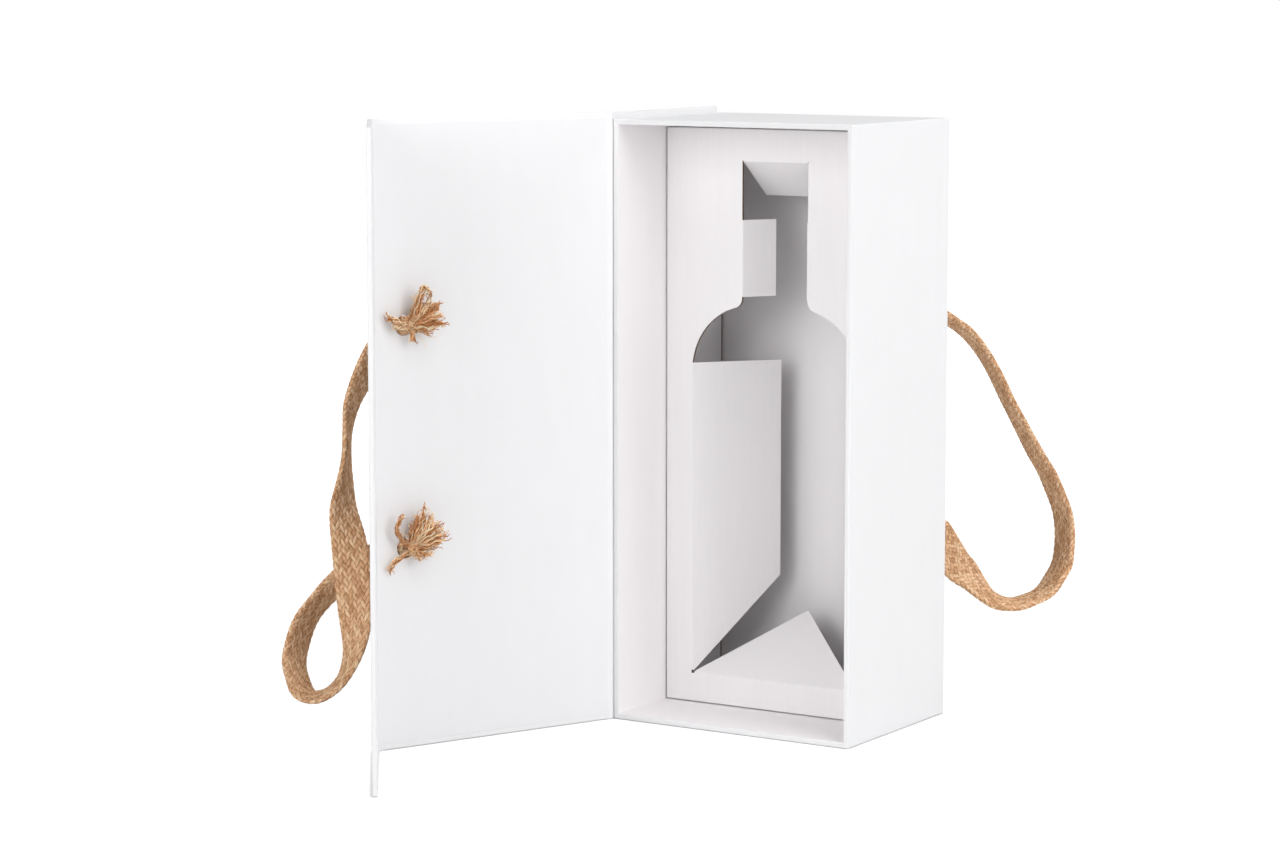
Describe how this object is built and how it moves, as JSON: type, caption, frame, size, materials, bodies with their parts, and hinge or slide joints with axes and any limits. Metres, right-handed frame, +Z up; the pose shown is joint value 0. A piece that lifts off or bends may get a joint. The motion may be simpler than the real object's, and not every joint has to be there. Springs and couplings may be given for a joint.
{
  "type": "bottle gift box",
  "caption": "Upright rigid gift box with a hinged door, closing flap, jute tape handles and a creased corrugated insert that grips a bottle.",
  "frame": {"origin": "centre of the tray's footprint, on the surface that the box stands on", "axes": "+X to the right along the tray's open front, +Y from the front to the back, +Z up"},
  "size_m": [0.2569, 0.4207, 0.283],
  "materials": {
    "white_paper": "matt white covering paper glued on board",
    "lining_paper": "matt white lining paper",
    "greyboard": "bare grey recycled board, hidden under the paper",
    "corrugated": "white faced fine-flute corrugated board with brown cut edges",
    "jute": "plaited natural jute tape, rough and matt",
    "frayed_jute": "knotted and frayed jute yarn",
    "magnet": "plated magnet, hidden in the board"
  },
  "bodies": {
    "tray": {"tray_back_board": "greyboard", "tray_left_board": "greyboard", "tray_right_board": "greyboard", "tray_top_board": "greyboard", "tray_base_board": "greyboard", "tray_base_paper": "white_paper", "tray_wrap": "white_paper", "tray_lining": "lining_paper", "wall_magnets": "magnet", "spine_board": "greyboard", "spine_wrap": "white_paper", "insert_face": "corrugated", "insert_left_wall": "corrugated", "insert_right_wall": "corrugated", "insert_top_wall": "corrugated", "insert_base_wall": "corrugated", "back_strap": "jute", "back_upper_knot": "frayed_jute", "back_lower_knot": "frayed_jute"},
    "door": {"door_board": "greyboard", "door_wrap": "white_paper", "door_lining": "lining_paper", "door_strap": "jute", "door_upper_knot": "frayed_jute", "door_lower_knot": "frayed_jute"},
    "flap": {"flap_board": "greyboard", "flap_wrap": "white_paper", "flap_lining": "lining_paper", "flap_magnets": "magnet"},
    "body_flap_left": {"insert_body_flap_left": "corrugated"},
    "body_flap_right": {"insert_body_flap_right": "corrugated"},
    "bottom_flap": {"insert_bottom_flap": "corrugated"},
    "neck_flap_left": {"insert_neck_flap_left": "corrugated"},
    "neck_flap_right": {"insert_neck_flap_right": "corrugated"},
    "top_flap": {"insert_top_flap": "corrugated"}
  },
  "joints": [
    {"name": "door_hinge", "type": "hinge", "parent": "tray", "child": "door", "pos_m": [-0.06305, -0.04705, 0.1415], "axis": [0, 0, 1], "range_deg": [-66.4, 113.6]},
    {"name": "flap_hinge", "type": "hinge", "parent": "door", "child": "flap", "pos_m": [-0.11353, -0.1626, 0.1415], "axis": [0, 0, 1], "range_deg": [-59.8, 30.2]},
    {"name": "body_flap_left_crease", "type": "hinge", "parent": "tray", "child": "body_flap_left", "pos_m": [-0.0453, -0.00415, 0.091], "axis": [0, 0, 1], "range_deg": [-51, 39]},
    {"name": "body_flap_right_crease", "type": "hinge", "parent": "tray", "child": "body_flap_right", "pos_m": [0.0439, -0.00415, 0.091], "axis": [0, 0, -1], "range_deg": [-54, 36]},
    {"name": "bottom_flap_crease", "type": "hinge", "parent": "tray", "child": "bottom_flap", "pos_m": [-0.0007, -0.00415, 0.0165], "axis": [-1, 0, 0], "range_deg": [-49, 41]},
    {"name": "neck_flap_left_crease", "type": "hinge", "parent": "tray", "child": "neck_flap_left", "pos_m": [-0.0182, -0.00415, 0.2149], "axis": [0, 0, 1], "range_deg": [-56, 34]},
    {"name": "neck_flap_right_crease", "type": "hinge", "parent": "tray", "child": "neck_flap_right", "pos_m": [0.0168, -0.00415, 0.2149], "axis": [0, 0, -1], "range_deg": [-66, 24]},
    {"name": "top_flap_crease", "type": "hinge", "parent": "tray", "child": "top_flap", "pos_m": [-0.0007, -0.00415, 0.2604], "axis": [1, 0, 0], "range_deg": [-52, 38]}
  ]
}
